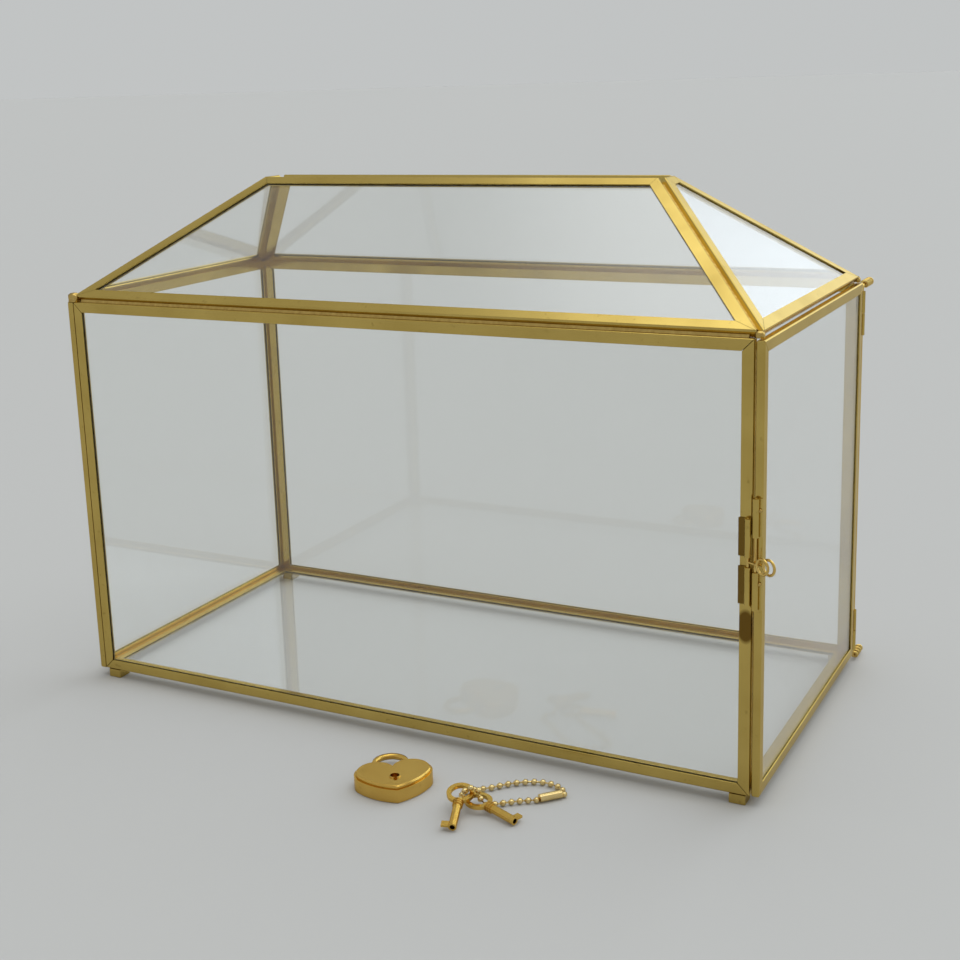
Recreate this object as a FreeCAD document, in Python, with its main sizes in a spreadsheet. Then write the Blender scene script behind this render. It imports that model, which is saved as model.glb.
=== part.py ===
import FreeCAD, Part
import Sketcher
import math
import os

# Wedding card box: glass panes in mitred brass cames, a hip roof with a card slot,
# a hinged end door, a wire-eye latch, and a padlock with two keys on a ball chain.
# Millimetres. +Z is up, the front faces -Y, the door is the end at +X, the feet stand on z = 0.

V = FreeCAD.Vector
doc = FreeCAD.newDocument("card_box")

# Driving sizes, one named cell each.
SIZES = {
    "BoxLength": 300.0,
    "BoxDepth": 142.0,
    "WallHeight": 164.0,
    "FootHeight": 3.5,
    "FootSize": 6.0,
    "FootInset": 8.0,
    "RoofRise": 45.5,
    "RidgeLength": 179.0,
    "SlotWidth": 10.0,
    "CameThickness": 3.0,
    "CameFlange": 4.3,
    "CameSheet": 0.5,
    "BendRadius": 0.7,
    "MitreGap": 0.12,
    "GlassThickness": 1.9,
    "GlassInset": 1.0,
    "DoorGap": 0.6,
    "DoorPlay": 0.4,
    "SolderLeg": 1.2,
    "SolderEnd": 3.0,
    "SolderLump": 2.6,
    "SolderLumpDoor": 1.7,
    "SolderDrop": 0.85,
    "BarrelRadius": 1.2,
    "WireRadius": 0.5,
    "WireClearance": 0.05,
    "LeafThickness": 0.5,
    "LeafWidth": 3.6,
    "LeafJog": 2.6,
    "LeafTuck": 0.4,
    "FrontBarrelSet": 1.1,
    "FrontBarrelLow": 75.4,
    "FrontBarrelHigh": 92.6,
    "DoorBarrelSet": 0.9,
    "DoorBarrelLow": 73.9,
    "DoorBarrelHigh": 99.9,
    "BarrelLength": 13.6,
    "DropHeight": 9.3,
    "EyeHeight": 90.9,
    "EyeReach": 6.8,
    "EyeStagger": 0.25,
    "EyeRadius": 2.65,
    "PinEnd": 0.3,
    "HingeSet": 0.6,
    "KnuckleLength": 9.0,
    "KnuckleGap": 0.3,
    "KnuckleTop": 2.6,
    "KnuckleFoot": 3.6,
    "PinBend": 1.4,
    "CoilWire": 0.6,
    "CoilClearance": 0.1,
    "CoilStart": 2.2,
    "CoilPitch": 2.8,
    "CoilTurns": 4.0,
    "CoilTail": 1.2,
    "CoilTopHeight": 165.8,
    "CoilLowHeight": 2.2,
    "LockPlaceX": 20.1,
    "LockPlaceY": -104.3,
    "LobeRadius": 8.1,
    "LobeSpread": 13.0,
    "LobeDrop": 4.7,
    "SideSpread": 16.3,
    "SideRise": 4.95,
    "LockCase": 5.0,
    "LockCover": 1.3,
    "LockStep": 0.7,
    "LockBevel": 0.5,
    "LockRoom": 3.0,
    "LockWell": 2.7,
    "PivotRadius": 0.75,
    "PivotClearance": 0.05,
    "PivotDrop": 2.0,
    "KeyholeRadius": 1.75,
    "KeyholeDrop": 10.3,
    "KeyholeDepth": 1.4,
    "KeyholeSlit": 1.2,
    "KeyholeRim": 2.25,
    "KeyholeRimHeight": 0.35,
    "ShackleRadius": 1.2,
    "ShackleSpread": 12.4,
    "ShackleLug": 2.3,
    "ShackleLugThick": 2.0,
    "ShackleRise": 7.2,
    "ShackleToe": 1.2,
    "ToeRoomWide": 4.4,
    "ToeRoomLong": 9.0,
    "KeyLength": 14.0,
    "KeyTube": 1.55,
    "KeyBore": 0.95,
    "KeyBoreDepth": 9.0,
    "KeyRidge": 0.4,
    "KeyRidgePitch": 1.0,
    "KeyFlagLong": 2.4,
    "KeyFlagHigh": 3.0,
    "KeyFlagThick": 0.9,
    "KeyFlagSet": 0.3,
    "KeyLift": 0.12,
    "BowRadius": 4.2,
    "BowWire": 0.8,
    "BowThick": 1.4,
    "BowSink": 0.2,
    "BeadRadius": 1.1,
    "BeadPitch": 3.25,
    "LinkRadius": 0.35,
    "ConnectorRadius": 1.5,
}
sheet = doc.addObject("Spreadsheet::Sheet", "Sizes")
for row, (alias, number) in enumerate(SIZES.items(), start=1):
    sheet.set("A%d" % row, str(number))
    sheet.setAlias("A%d" % row, alias)
doc.recompute()


def size(alias):
    """Number held in one cell of the sheet."""
    return float(sheet.get(alias))


L = size("BoxLength")
D = size("BoxDepth")
H = size("WallHeight")
Z0 = size("FootHeight")
Z1 = Z0 + H
T = size("CameThickness")
RISE = size("RoofRise")
RIDGE = size("RidgeLength")
SLOT = size("SlotWidth")
EAVE_L = L - 2 * T
EAVE_D = D - 2 * T
PANEL_L = L - 2 * T - size("DoorGap")
PANEL_X = -size("DoorGap") / 2
PLAY = size("DoorPlay")
RUN_F = (EAVE_D - SLOT) / 2
RUN_E = (EAVE_L - RIDGE) / 2
SLOPE_F = math.hypot(RUN_F, RISE)
SLOPE_E = math.hypot(RUN_E, RISE)

# The same derived lengths as expressions on the sheet's cells.
X_EAVE_L = "(Sizes.BoxLength - 2 * Sizes.CameThickness)"
X_EAVE_D = "(Sizes.BoxDepth - 2 * Sizes.CameThickness)"
X_PANEL_L = "(Sizes.BoxLength - 2 * Sizes.CameThickness - Sizes.DoorGap)"
X_WALL = "(Sizes.WallHeight)"
X_DEPTH = "(Sizes.BoxDepth)"
X_DOOR_D = "(Sizes.BoxDepth - Sizes.DoorPlay)"
X_DOOR_H = "(Sizes.WallHeight - 2 * Sizes.DoorPlay)"
X_RIDGE = "(Sizes.RidgeLength)"
X_SLOT = "(Sizes.SlotWidth)"
X_SLOPE_F = "sqrt(((%s - %s) / 2)^2 + Sizes.RoofRise^2)" % (X_EAVE_D, X_SLOT)
X_SLOPE_E = "sqrt(((%s - %s) / 2)^2 + Sizes.RoofRise^2)" % (X_EAVE_L, X_RIDGE)

nodes = []


def node(obj, label):
    """Keep a finished object as one named sub-part."""
    obj.Label = label
    nodes.append(obj)
    return obj


def plane_of(body, role):
    return [f for f in body.Origin.OriginFeatures if f.Role == role][0]


def place(x, y, z, yaw=0.0, pitch=0.0, roll=0.0):
    return FreeCAD.Placement(V(x, y, z), FreeCAD.Rotation(yaw, pitch, roll))


def bind(obj, **bound):
    for prop, text in bound.items():
        obj.setExpression(prop, text)


def group(kind, name, members):
    obj = doc.addObject(kind, name)
    if kind == "Part::Compound":
        obj.Links = members
    else:
        obj.Shapes = members
    return obj


def cut(name, base, tool):
    obj = doc.addObject("Part::Cut", name)
    obj.Base = base
    obj.Tool = tool
    return obj


def box(name, x, y, z, where):
    obj = doc.addObject("Part::Box", name)
    bind(obj, Length=x, Width=y, Height=z)
    obj.Placement = where
    return obj


def rod(name, radius, height, where):
    obj = doc.addObject("Part::Cylinder", name)
    bind(obj, Radius=radius, Height=height)
    obj.Placement = where
    return obj


def prism(name, sides, radius, height, where):
    """Many-sided bar along Z, used for drawn wire and small turned parts."""
    obj = doc.addObject("Part::Prism", name)
    obj.Polygon = sides
    bind(obj, Circumradius=radius, Height=height)
    obj.Placement = where
    return obj


def ring(name, mean, wire, where):
    """Closed ring about Z: a many-sided section swung round at the mean radius."""
    section = doc.addObject("Part::RegularPolygon", name + "_section")
    section.Polygon = RING_SIDES
    section.Placement = place(size(mean), 0, 0, 0, 0, 90)
    bind(section, Circumradius="Sizes." + wire)
    section.setExpression("Placement.Base.x", "Sizes." + mean)
    turned = doc.addObject("Part::Revolution", name)
    turned.Source = section
    turned.Axis = V(0, 0, 1)
    turned.Base = V(0, 0, 0)
    turned.Angle = 360
    turned.Solid = True
    turned.Placement = where
    return turned


WIRE_SIDES = 8
TURNED_SIDES = 12
SHACKLE_SIDES = 6
RING_SIDES = 5
COIL_SIDES = 4
LINK_SIDES = 4
HALF_FLAT = 180 / WIRE_SIDES
BEAD_FLAT = 0.94
BEAD_ACROSS = "%s * Sizes.BeadRadius / cos(%s)" % (BEAD_FLAT, HALF_FLAT)
BEAD = size("BeadRadius")

# A ball is what three eight-sided bars along X, Y and Z have in common. Beads and solder lumps are copies.
bars = []
for i, (yaw, pitch, roll) in enumerate(((0, 0, 0), (0, 90, 0), (0, 0, 90))):
    bar = prism("ball_bar%d" % i, WIRE_SIDES, BEAD_ACROSS, "4 * Sizes.BeadRadius", FreeCAD.Placement())
    bar.Placement = place(0, 0, 0, yaw, pitch, roll).multiply(place(0, 0, -2 * BEAD, HALF_FLAT))
    bars.append(bar)
ball_form = group("Part::MultiCommon", "ball_form", bars)


# Panels. Each is a trapezoid drawn with X along its lower edge, Y up the pane and Z outwards.
def trapezoid(body, name, wide, rise, inset, z_text):
    """Four-line sketch, symmetric about Y: the panel's outline moved in by one inset."""
    base, top = wide
    base_n, top_n, rise_n = NUMBERS[base], NUMBERS[top], NUMBERS[rise]
    lean_n = (base_n - top_n) / (2 * rise_n)
    in_n = 0.0
    if inset:
        in_n = size(inset)
    side_n = in_n * math.sqrt(1 + lean_n ** 2)
    low_half = base_n / 2 - lean_n * in_n - side_n
    top_half = base_n / 2 - lean_n * (rise_n - in_n) - side_n
    sk = body.newObject("Sketcher::SketchObject", name)
    sk.AttachmentSupport = (plane_of(body, "XY_Plane"), [""])
    sk.MapMode = "FlatFace"
    sk.setExpression("AttachmentOffset.Base.z", z_text)
    corners = [V(-low_half, in_n, 0), V(low_half, in_n, 0)]
    corners += [V(top_half, rise_n - in_n, 0), V(-top_half, rise_n - in_n, 0)]
    for i in range(4):
        sk.addGeometry(Part.LineSegment(corners[i], corners[(i + 1) % 4]))
    C = Sketcher.Constraint
    for i in range(4):
        sk.addConstraint(C("Coincident", i, 2, (i + 1) % 4, 1))
    sk.addConstraint(C("Symmetric", 0, 1, 0, 2, -2))
    sk.addConstraint(C("Symmetric", 2, 1, 2, 2, -2))
    lean = "((%s - %s) / (2 * %s))" % (base, top, rise)
    move = "0"
    if inset:
        move = "Sizes." + inset
    side = "%s * sqrt(1 + %s^2)" % (move, lean)
    low_text = "%s - 2 * %s * %s - 2 * %s" % (base, lean, move, side)
    top_text = "%s - 2 * %s * (%s - %s) - 2 * %s" % (base, lean, rise, move, side)
    k = sk.addConstraint(C("DistanceX", 0, 1, 0, 2, 2 * low_half))
    sk.setExpression("Constraints[%d]" % k, low_text)
    k = sk.addConstraint(C("DistanceX", 2, 2, 2, 1, 2 * top_half))
    sk.setExpression("Constraints[%d]" % k, top_text)
    k = sk.addConstraint(C("DistanceY", 0, 2, 1, 2, rise_n - 2 * in_n))
    sk.setExpression("Constraints[%d]" % k, "%s - 2 * %s" % (rise, move))
    if inset:
        k = sk.addConstraint(C("DistanceY", -1, 1, 0, 1, in_n))
        sk.setExpression("Constraints[%d]" % k, move)
    else:
        sk.addConstraint(C("PointOnObject", 0, 1, -1))
    return sk


NUMBERS = {
    X_EAVE_L: EAVE_L, X_EAVE_D: EAVE_D, X_PANEL_L: PANEL_L, X_WALL: H, X_DEPTH: D,
    X_DOOR_D: D - PLAY, X_DOOR_H: H - 2 * PLAY, X_RIDGE: RIDGE, X_SLOT: SLOT,
    X_SLOPE_F: SLOPE_F, X_SLOPE_E: SLOPE_E,
}


def came(name, base, top, rise, where):
    """Folded channel round one pane: outline, window, glass channel, bends and mitre seams."""
    levels = [T]
    if name == "door_came":
        levels = [0, T]
    b, a, h = NUMBERS[base], NUMBERS[top], NUMBERS[rise]
    lean = (b - a) / (2 * h)
    body = doc.addObject("PartDesign::Body", name + "_stock")
    outline = trapezoid(body, name + "_outline", (base, top), rise, None, "0")
    pad = body.newObject("PartDesign::Pad", name + "_pad")
    pad.Profile = outline
    bind(pad, Length="Sizes.CameThickness")
    doc.recompute()
    window = trapezoid(body, name + "_window", (base, top), rise, "CameFlange", "Sizes.CameThickness")
    through = body.newObject("PartDesign::Pocket", name + "_through")
    through.Profile = window
    bind(through, Length="Sizes.CameThickness")
    doc.recompute()
    groove = trapezoid(body, name + "_groove", (base, top), rise, "CameSheet", "Sizes.CameSheet")
    channel = body.newObject("PartDesign::Pocket", name + "_channel")
    channel.Profile = groove
    channel.Reversed = True
    bind(channel, Length="Sizes.CameThickness - 2 * Sizes.CameSheet")
    doc.recompute()
    edges = []
    for i, edge in enumerate(channel.Shape.Edges, start=1):
        ends = [v.Point for v in edge.Vertexes]
        flat = any(all(abs(p.z - level) < 1e-6 for p in ends) for level in levels)
        mid = (ends[0] + ends[-1]) * 0.5
        on_side = abs(abs(mid.x) - (b / 2 - lean * mid.y)) < 1e-6
        if flat and (on_side or abs(mid.y) < 1e-6 or abs(mid.y - h) < 1e-6):
            edges.append("Edge%d" % i)
    bends = body.newObject("PartDesign::Fillet", name + "_bends")
    bends.Base = (channel, edges)
    bind(bends, Radius="Sizes.BendRadius")
    body.Tip = bends
    doc.recompute()
    tilt = math.degrees(math.atan(lean))
    corners = [
        (-b / 2, 0, (90 - tilt) / 2), (b / 2, 0, 180 - (90 - tilt) / 2),
        (a / 2, h, 180 + (90 + tilt) / 2), (-a / 2, h, -(90 + tilt) / 2),
    ]
    seams = []
    gap = size("MitreGap")
    for i, (x, y, turn) in enumerate(corners):
        ca, sa = math.cos(math.radians(turn)), math.sin(math.radians(turn))
        at = place(x - ca + sa * gap / 2, y - sa - ca * gap / 2, -1, turn)
        seams.append(box("%s_seam%d" % (name, i), "3 * Sizes.CameFlange", "Sizes.MitreGap",
                         "Sizes.CameThickness + 2", at))
    strips = cut(name, body, group("Part::MultiFuse", name + "_seams", seams))
    strips.Placement = where
    return node(strips, name)


def glass(name, base, top, rise, where):
    """Flat pane held in the came's channel."""
    body = doc.addObject("PartDesign::Body", name)
    outline = trapezoid(body, name + "_outline", (base, top), rise, "GlassInset",
                        "(Sizes.CameThickness - Sizes.GlassThickness) / 2")
    pad = body.newObject("PartDesign::Pad", name + "_pad")
    pad.Profile = outline
    bind(pad, Length="Sizes.GlassThickness")
    body.Placement = where
    return node(body, name)


ROLL_F = math.degrees(math.atan2(RISE, RUN_F))
ROLL_E = math.degrees(math.atan2(RISE, RUN_E))
PANELS = {
    "base": (X_PANEL_L, X_PANEL_L, X_EAVE_D, place(PANEL_X, -EAVE_D / 2, Z0)),
    "front": (X_PANEL_L, X_PANEL_L, X_WALL, place(PANEL_X, -EAVE_D / 2, Z0, 0, 0, 90)),
    "back": (X_PANEL_L, X_PANEL_L, X_WALL, place(PANEL_X, EAVE_D / 2, Z0, 180, 0, 90)),
    "left": (X_DEPTH, X_DEPTH, X_WALL, place(-EAVE_L / 2, 0, Z0, -90, 0, 90)),
    "door": (X_DOOR_D, X_DOOR_D, X_DOOR_H, place(EAVE_L / 2, -PLAY / 2, Z0 + PLAY, 90, 0, 90)),
    "roof_front": (X_EAVE_L, X_RIDGE, X_SLOPE_F, place(0, -EAVE_D / 2, Z1, 0, 0, ROLL_F)),
    "roof_back": (X_EAVE_L, X_RIDGE, X_SLOPE_F, place(0, EAVE_D / 2, Z1, 180, 0, ROLL_F)),
    "roof_left": (X_EAVE_D, X_SLOT, X_SLOPE_E, place(-EAVE_L / 2, 0, Z1, -90, 0, ROLL_E)),
    "roof_right": (X_EAVE_D, X_SLOT, X_SLOPE_E, place(EAVE_L / 2, 0, Z1, 90, 0, ROLL_E)),
}
cames = {}
for key, (base, top, rise, where) in PANELS.items():
    cames[key] = came(key + "_came", base, top, rise, where)
    glass(key + "_glass", base, top, rise, where)

# Four foot blocks under the long walls, near the ends.
feet = []
inset = size("FootInset")
foot = size("FootSize")
for i, (sx, sy) in enumerate(((-1, -1), (1, -1), (1, 1), (-1, 1))):
    x = sx * (L / 2 - inset) - foot / 2
    y = sy * (D / 2 - foot / 2) - foot / 2
    feet.append(box("foot%d" % i, "Sizes.FootSize", "Sizes.FootSize", "Sizes.FootHeight", place(x, y, 0)))
node(group("Part::Compound", "corner_feet", feet), "corner_feet")


# Solder runs: three-sided beads lying in the notches between cames.
def bead_run(name, first, second, length_text, where):
    """Triangle with one corner on the seam, drawn along local X from two leg directions."""
    body = doc.addObject("PartDesign::Body", name)
    sk = body.newObject("Sketcher::SketchObject", name + "_section")
    sk.AttachmentSupport = (plane_of(body, "YZ_Plane"), [""])
    sk.MapMode = "FlatFace"
    leg = size("SolderLeg")
    tips = [V(0, 0, 0), V(first[0] * leg, first[1] * leg, 0), V(second[0] * leg, second[1] * leg, 0)]
    for i in range(3):
        sk.addGeometry(Part.LineSegment(tips[i], tips[(i + 1) % 3]))
    C = Sketcher.Constraint
    for i in range(3):
        sk.addConstraint(C("Coincident", i, 2, (i + 1) % 3, 1))
    sk.addConstraint(C("Coincident", 0, 1, -1, 1))
    k = sk.addConstraint(C("Distance", 0, leg))
    sk.setExpression("Constraints[%d]" % k, "Sizes.SolderLeg")
    k = sk.addConstraint(C("Distance", 2, leg))
    sk.setExpression("Constraints[%d]" % k, "Sizes.SolderLeg")
    pad = body.newObject("PartDesign::Pad", name + "_pad")
    pad.Profile = sk
    pad.SideType = "Symmetric"
    bind(pad, Length=length_text)
    body.Placement = where
    return body


def notch(roll):
    """Leg directions of an eave notch in the roof panel's own frame: along its web, and level outwards."""
    r = math.radians(roll)
    return (0, 1), (-math.cos(r), math.sin(r))


eaves = []
for key, roll, length in (("roof_front", ROLL_F, X_EAVE_L), ("roof_back", ROLL_F, X_EAVE_L),
                          ("roof_left", ROLL_E, X_EAVE_D)):
    one, two = notch(roll)
    eaves.append(bead_run("eave_" + key, one, two, length + " - 2 * Sizes.SolderEnd", PANELS[key][3]))
node(group("Part::Compound", "solder_eaves", eaves), "solder_eaves")

hips = []
HIP = "sqrt(((%s - %s) / 2)^2 + ((%s - %s) / 2)^2 + Sizes.RoofRise^2)"
HIP = HIP % (X_EAVE_L, X_RIDGE, X_EAVE_D, X_SLOT)
for i, (sx, sy) in enumerate(((-1, -1), (1, -1), (1, 1), (-1, 1))):
    low = V(sx * EAVE_L / 2, sy * EAVE_D / 2, Z1)
    high = V(sx * RIDGE / 2, sy * SLOT / 2, Z1 + RISE)
    along = (high - low).normalize()
    out_f = V(0, sy * RISE / SLOPE_F, RUN_F / SLOPE_F)
    out_e = V(sx * RISE / SLOPE_E, 0, RUN_E / SLOPE_E)
    side = along.cross(out_f)
    turn = (out_e.dot(out_f), out_e.dot(side))
    run = bead_run("hip%d" % i, (1, 0), turn, HIP + " - 2 * Sizes.SolderEnd",
                   FreeCAD.Placement((low + high) * 0.5, FreeCAD.Rotation(along, out_f, side, "XYZ")))
    hips.append(run)
node(group("Part::Compound", "solder_hips", hips), "solder_hips")
doc.recompute()


# Rounded solder lumps at the eave corners, cut to sit on the panels around them.
def lump(radius, centre):
    """The ball form at another size."""
    ball = ball_form.Shape.copy()
    ball.scale(radius / BEAD)
    ball.translate(centre)
    return ball


def slab(key):
    """A panel's whole thickness, window filled, where it stands."""
    shape = doc.getObject(key + "_came_pad").Shape.copy()
    shape.Placement = PANELS[key][3]
    return shape


def largest(shape):
    return max(shape.Solids, key=lambda s: s.Volume)


LUMP_OUT = 0.3
LUMP_UP = 0.45
DOOR_CLEAR = 0.02
AROUND = ("front", "back", "left", "roof_front", "roof_back", "roof_left", "roof_right")
room_inside = Part.makeBox(EAVE_L, EAVE_D, H + RISE, V(-EAVE_L / 2, -EAVE_D / 2, Z0))
room_door = Part.makeBox(4 * T, 2 * D, H, V(PANEL_X + PANEL_L / 2, -D, Z0 + DOOR_CLEAR))
lumps = []
for sx, sy, alias in ((-1, -1, "SolderLump"), (1, -1, "SolderLumpDoor"), (1, 1, "SolderLumpDoor"),
                      (-1, 1, "SolderLump")):
    radius = size(alias)
    out = LUMP_OUT * radius
    centre = V(sx * (EAVE_L / 2 + out), sy * (EAVE_D / 2 + out), Z1 + LUMP_UP * radius)
    mass = lump(radius, centre).cut([slab(key) for key in AROUND] + [room_inside, room_door])
    for run in eaves + hips:
        mass = mass.cut(run.Shape)
    lumps.append(largest(mass))
corner_lumps = doc.addObject("Part::Feature", "solder_corners")
corner_lumps.Shape = Part.makeCompound(lumps)
node(corner_lumps, "solder_corners")


# Rolled barrels with a flat leaf, for the latch and the hinge.
def barrel(name, leaf, length_text, where):
    """Barrel along Z. The leaf gives its width and thickness as expressions and its corner's x and y."""
    width, thick, x, y = leaf
    outer = prism(name + "_roll", TURNED_SIDES, "Sizes.BarrelRadius", length_text, FreeCAD.Placement())
    plate = box(name + "_leaf", width, thick, length_text, place(x, y, 0))
    rolled = group("Part::MultiFuse", name + "_rolled", [outer, plate])
    bore = prism(name + "_bore", TURNED_SIDES, X_WIRE_BORE, length_text + " + 2", place(0, 0, -1))
    made = cut(name, rolled, bore)
    made.Placement = where
    return made


X_WIRE_BORE = "Sizes.WireRadius + Sizes.WireClearance"
BARREL = size("BarrelRadius")
LEAF_Y = BARREL - size("LeafThickness")
FRONT_AXIS_X = PANEL_X + PANEL_L / 2 - size("FrontBarrelSet")
DOOR_AXIS_X = EAVE_L / 2 + size("DoorBarrelSet")
LATCH_Y = -D / 2 - BARREL
FRONT_LEAF = ("Sizes.LeafWidth", "Sizes.LeafThickness", -size("LeafWidth"), LEAF_Y)
DOOR_LEAF = ("Sizes.CameThickness - Sizes.DoorBarrelSet", "Sizes.LeafThickness", 0, LEAF_Y)
front_barrels = []
door_barrels = []
for tag in ("Low", "High"):
    where = place(FRONT_AXIS_X, LATCH_Y, size("FrontBarrel" + tag))
    front_barrels.append(barrel("front_barrel_" + tag, FRONT_LEAF, "Sizes.BarrelLength", where))
    where = place(DOOR_AXIS_X, LATCH_Y, size("DoorBarrel" + tag))
    door_barrels.append(barrel("door_barrel_" + tag, DOOR_LEAF, "Sizes.BarrelLength", where))
node(group("Part::Compound", "front_latch_barrels", front_barrels), "front_latch_barrels")
node(group("Part::Compound", "door_latch_barrels", door_barrels), "door_latch_barrels")


# Wire eyes: an upright pin through two barrels, a short shank and a closed ring.
def eye(name, tag, x, stagger):
    """The pin stands in the low and high barrels, and the shank leaves through the gap between them."""
    mid = size("EyeHeight")
    low = size(tag + "BarrelLow") - size("PinEnd")
    high = size(tag + "BarrelHigh") + size("BarrelLength") + size("PinEnd")
    reach = size("EyeReach") + stagger * size("EyeStagger")
    pin = prism(name + "_pin", WIRE_SIDES, "Sizes.WireRadius", str(high - low), place(0, 0, low - mid))
    reach_text = "Sizes.EyeReach + %d * Sizes.EyeStagger - Sizes.EyeRadius" % stagger
    shank = prism(name + "_shank", WIRE_SIDES, "Sizes.WireRadius", reach_text, place(0, 0, 0, 0, 90, 0))
    hoop = ring(name + "_ring", "EyeRadius", "WireRadius", place(reach, 0, 0, 0, 0, 90))
    made = group("Part::MultiFuse", name, [pin, shank, hoop])
    made.Placement = place(x, LATCH_Y, mid, EYE_YAW)
    return node(made, name)


EYE_YAW = -30
eye("front_latch_eye", "Front", FRONT_AXIS_X, 1)
eye("door_latch_eye", "Door", DOOR_AXIS_X, -1)
doc.recompute()

# Solder drops on the door, beside its two latch barrels.
seats = [made.Shape for made in door_barrels] + [slab("door")]
drops = []
for tag in ("Low", "High"):
    z = size("DoorBarrel" + tag) + size("DropHeight")
    centre = V(DOOR_AXIS_X + BARREL, LATCH_Y + BARREL / 2, z)
    drops.append(largest(lump(size("SolderDrop"), centre).cut(seats)))
door_drops = doc.addObject("Part::Feature", "solder_drops")
door_drops.Shape = Part.makeCompound(drops)
node(door_drops, "solder_drops")

# Hinge: knuckles on the back came and on the door, one bent pin, a wound coil on each end.
HINGE_X = L / 2 - size("HingeSet")
HINGE_Y = D / 2 + BARREL
TOP = size("CoilTopHeight")
LOW = size("CoilLowHeight")
LONG = size("KnuckleLength")
back_low = LOW + size("KnuckleFoot")
back_high = TOP - size("KnuckleTop") - LONG
door_low = back_low + LONG + size("KnuckleGap")
door_high = back_high - LONG - size("KnuckleGap")
BACK_LEAF = ("Sizes.LeafWidth + Sizes.LeafJog", "Sizes.LeafThickness", 0, LEAF_Y)
TUCKED_LEAF = ("Sizes.LeafJog", "Sizes.LeafThickness + Sizes.LeafTuck", -size("HingeSet"),
               LEAF_Y + PLAY - size("LeafTuck"))
fixed = []
swinging = []
for tag, z_back, z_door in (("low", back_low, door_low), ("high", back_high, door_high)):
    where = place(HINGE_X, HINGE_Y, z_back, 180)
    fixed.append(barrel("back_knuckle_" + tag, BACK_LEAF, "Sizes.KnuckleLength", where))
    where = place(HINGE_X, HINGE_Y, z_door, 180)
    swinging.append(barrel("door_knuckle_" + tag, TUCKED_LEAF, "Sizes.KnuckleLength", where))
node(group("Part::Compound", "back_hinge_knuckles", fixed), "back_hinge_knuckles")
node(group("Part::Compound", "door_hinge_knuckles", swinging), "door_hinge_knuckles")


def arc(a, b, c):
    return Part.Arc(a, b, c).toShape()


def line(a, b):
    return Part.LineSegment(a, b).toShape()


def tube(edges, radius, sides):
    """One wire with a many-sided section, swept along joined edges."""
    start = edges[0].valueAt(edges[0].FirstParameter)
    ahead = edges[0].tangentAt(edges[0].FirstParameter)
    turn = FreeCAD.Rotation(V(0, 0, 1), ahead)
    corners = []
    for i in range(sides):
        a = 2 * math.pi * i / sides
        corners.append(start + turn.multVec(V(radius * math.cos(a), radius * math.sin(a), 0)))
    section = Part.makePolygon(corners + corners[:1])
    return Part.Wire(edges).makePipeShell([section], True, False)


BEND = size("PinBend")
START = size("CoilStart")
TAIL = START + size("CoilPitch") * size("CoilTurns") + size("CoilTail")
near = BEND - BEND * math.sqrt(0.5)
pin_path = [
    line(V(0, TAIL, LOW), V(0, BEND, LOW)),
    arc(V(0, BEND, LOW), V(0, near, LOW + near), V(0, 0, LOW + BEND)),
    line(V(0, 0, LOW + BEND), V(0, 0, TOP - BEND)),
    arc(V(0, 0, TOP - BEND), V(0, near, TOP - near), V(0, BEND, TOP)),
    line(V(0, BEND, TOP), V(0, TAIL, TOP)),
]
hinge_pin = doc.addObject("Part::Feature", "hinge_pin")
hinge_pin.Shape = tube(pin_path, size("WireRadius"), WIRE_SIDES)
hinge_pin.Placement = place(HINGE_X, HINGE_Y, 0)
node(hinge_pin, "hinge_pin")


def biarc(p0, t0, p1, t1):
    """Two tangent arcs from one point and direction to another."""
    v = p1 - p0
    k = 2 * (1 - t0.dot(t1))
    b = 2 * v.dot(t0 + t1)
    d = (-b + math.sqrt(b * b + 4 * k * v.dot(v))) / (2 * k)
    q0 = p0 + t0 * d
    q1 = p1 - t1 * d
    mid = (q0 + q1) * 0.5
    turn = (q1 - q0).normalize()
    found = []
    for a, ta, c, tc in ((p0, t0, mid, turn), (mid, turn, p1, t1)):
        chord = c - a
        bis = (ta - tc).normalize()
        angle = ta.getAngle(tc) / 2
        sag = chord.Length / 2 * math.tan(angle / 2)
        found.append(arc(a, (a + c) * 0.5 + bis * sag, c))
    return found


def coil(name, z):
    """Wire wound on the pin's tail: half turns of tangent arcs, a straight end on each side."""
    wire = size("CoilWire")
    mean = size("WireRadius") + size("CoilClearance") + wire
    pitch = size("CoilPitch")
    halves = int(round(size("CoilTurns") * 2))
    climb = pitch / (2 * math.pi)
    points = []
    ways = []
    for i in range(halves + 1):
        a = math.pi * i
        points.append(V(-mean * math.cos(a), START + climb * a, mean * math.sin(a)))
        ways.append(V(mean * math.sin(a), climb, mean * math.cos(a)).normalize())
    edges = [line(points[0] - ways[0] * wire, points[0])]
    for i in range(halves):
        edges += biarc(points[i], ways[i], points[i + 1], ways[i + 1])
    edges.append(line(points[-1], points[-1] + ways[-1] * wire))
    made = doc.addObject("Part::Feature", name)
    made.Shape = tube(edges, wire, COIL_SIDES)
    made.Placement = place(HINGE_X, HINGE_Y, z)
    spots = []
    for edge in edges:
        spots += edge.discretize(COIL_SPOTS)
    per_turn = len(spots) // int(round(size("CoilTurns")))
    apart = [(p - q).Length for i, p in enumerate(spots) for q in spots[i + per_turn // 2:]]
    print(name, "least gap to itself", round(min(apart) - 2 * wire, 2))
    return node(made, name)


COIL_SPOTS = 12
coil("hinge_coil_upper", TOP)
coil("hinge_coil_lower", LOW)

# Padlock, lying flat in front of the box: heart-shaped case and cover, pivot pin and shackle.
LOCK_YAW = 36
LOCK = place(size("LockPlaceX"), size("LockPlaceY"), 0, LOCK_YAW)
LOBE = V(size("LobeSpread") / 2, -size("LobeDrop"), 0)
SIDE = V(-size("SideSpread") / 2, size("SideRise"), 0)
UPRIGHT = V(0, 0, 1)


def mirrored(p):
    return V(-p.x, p.y, 0)


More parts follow.
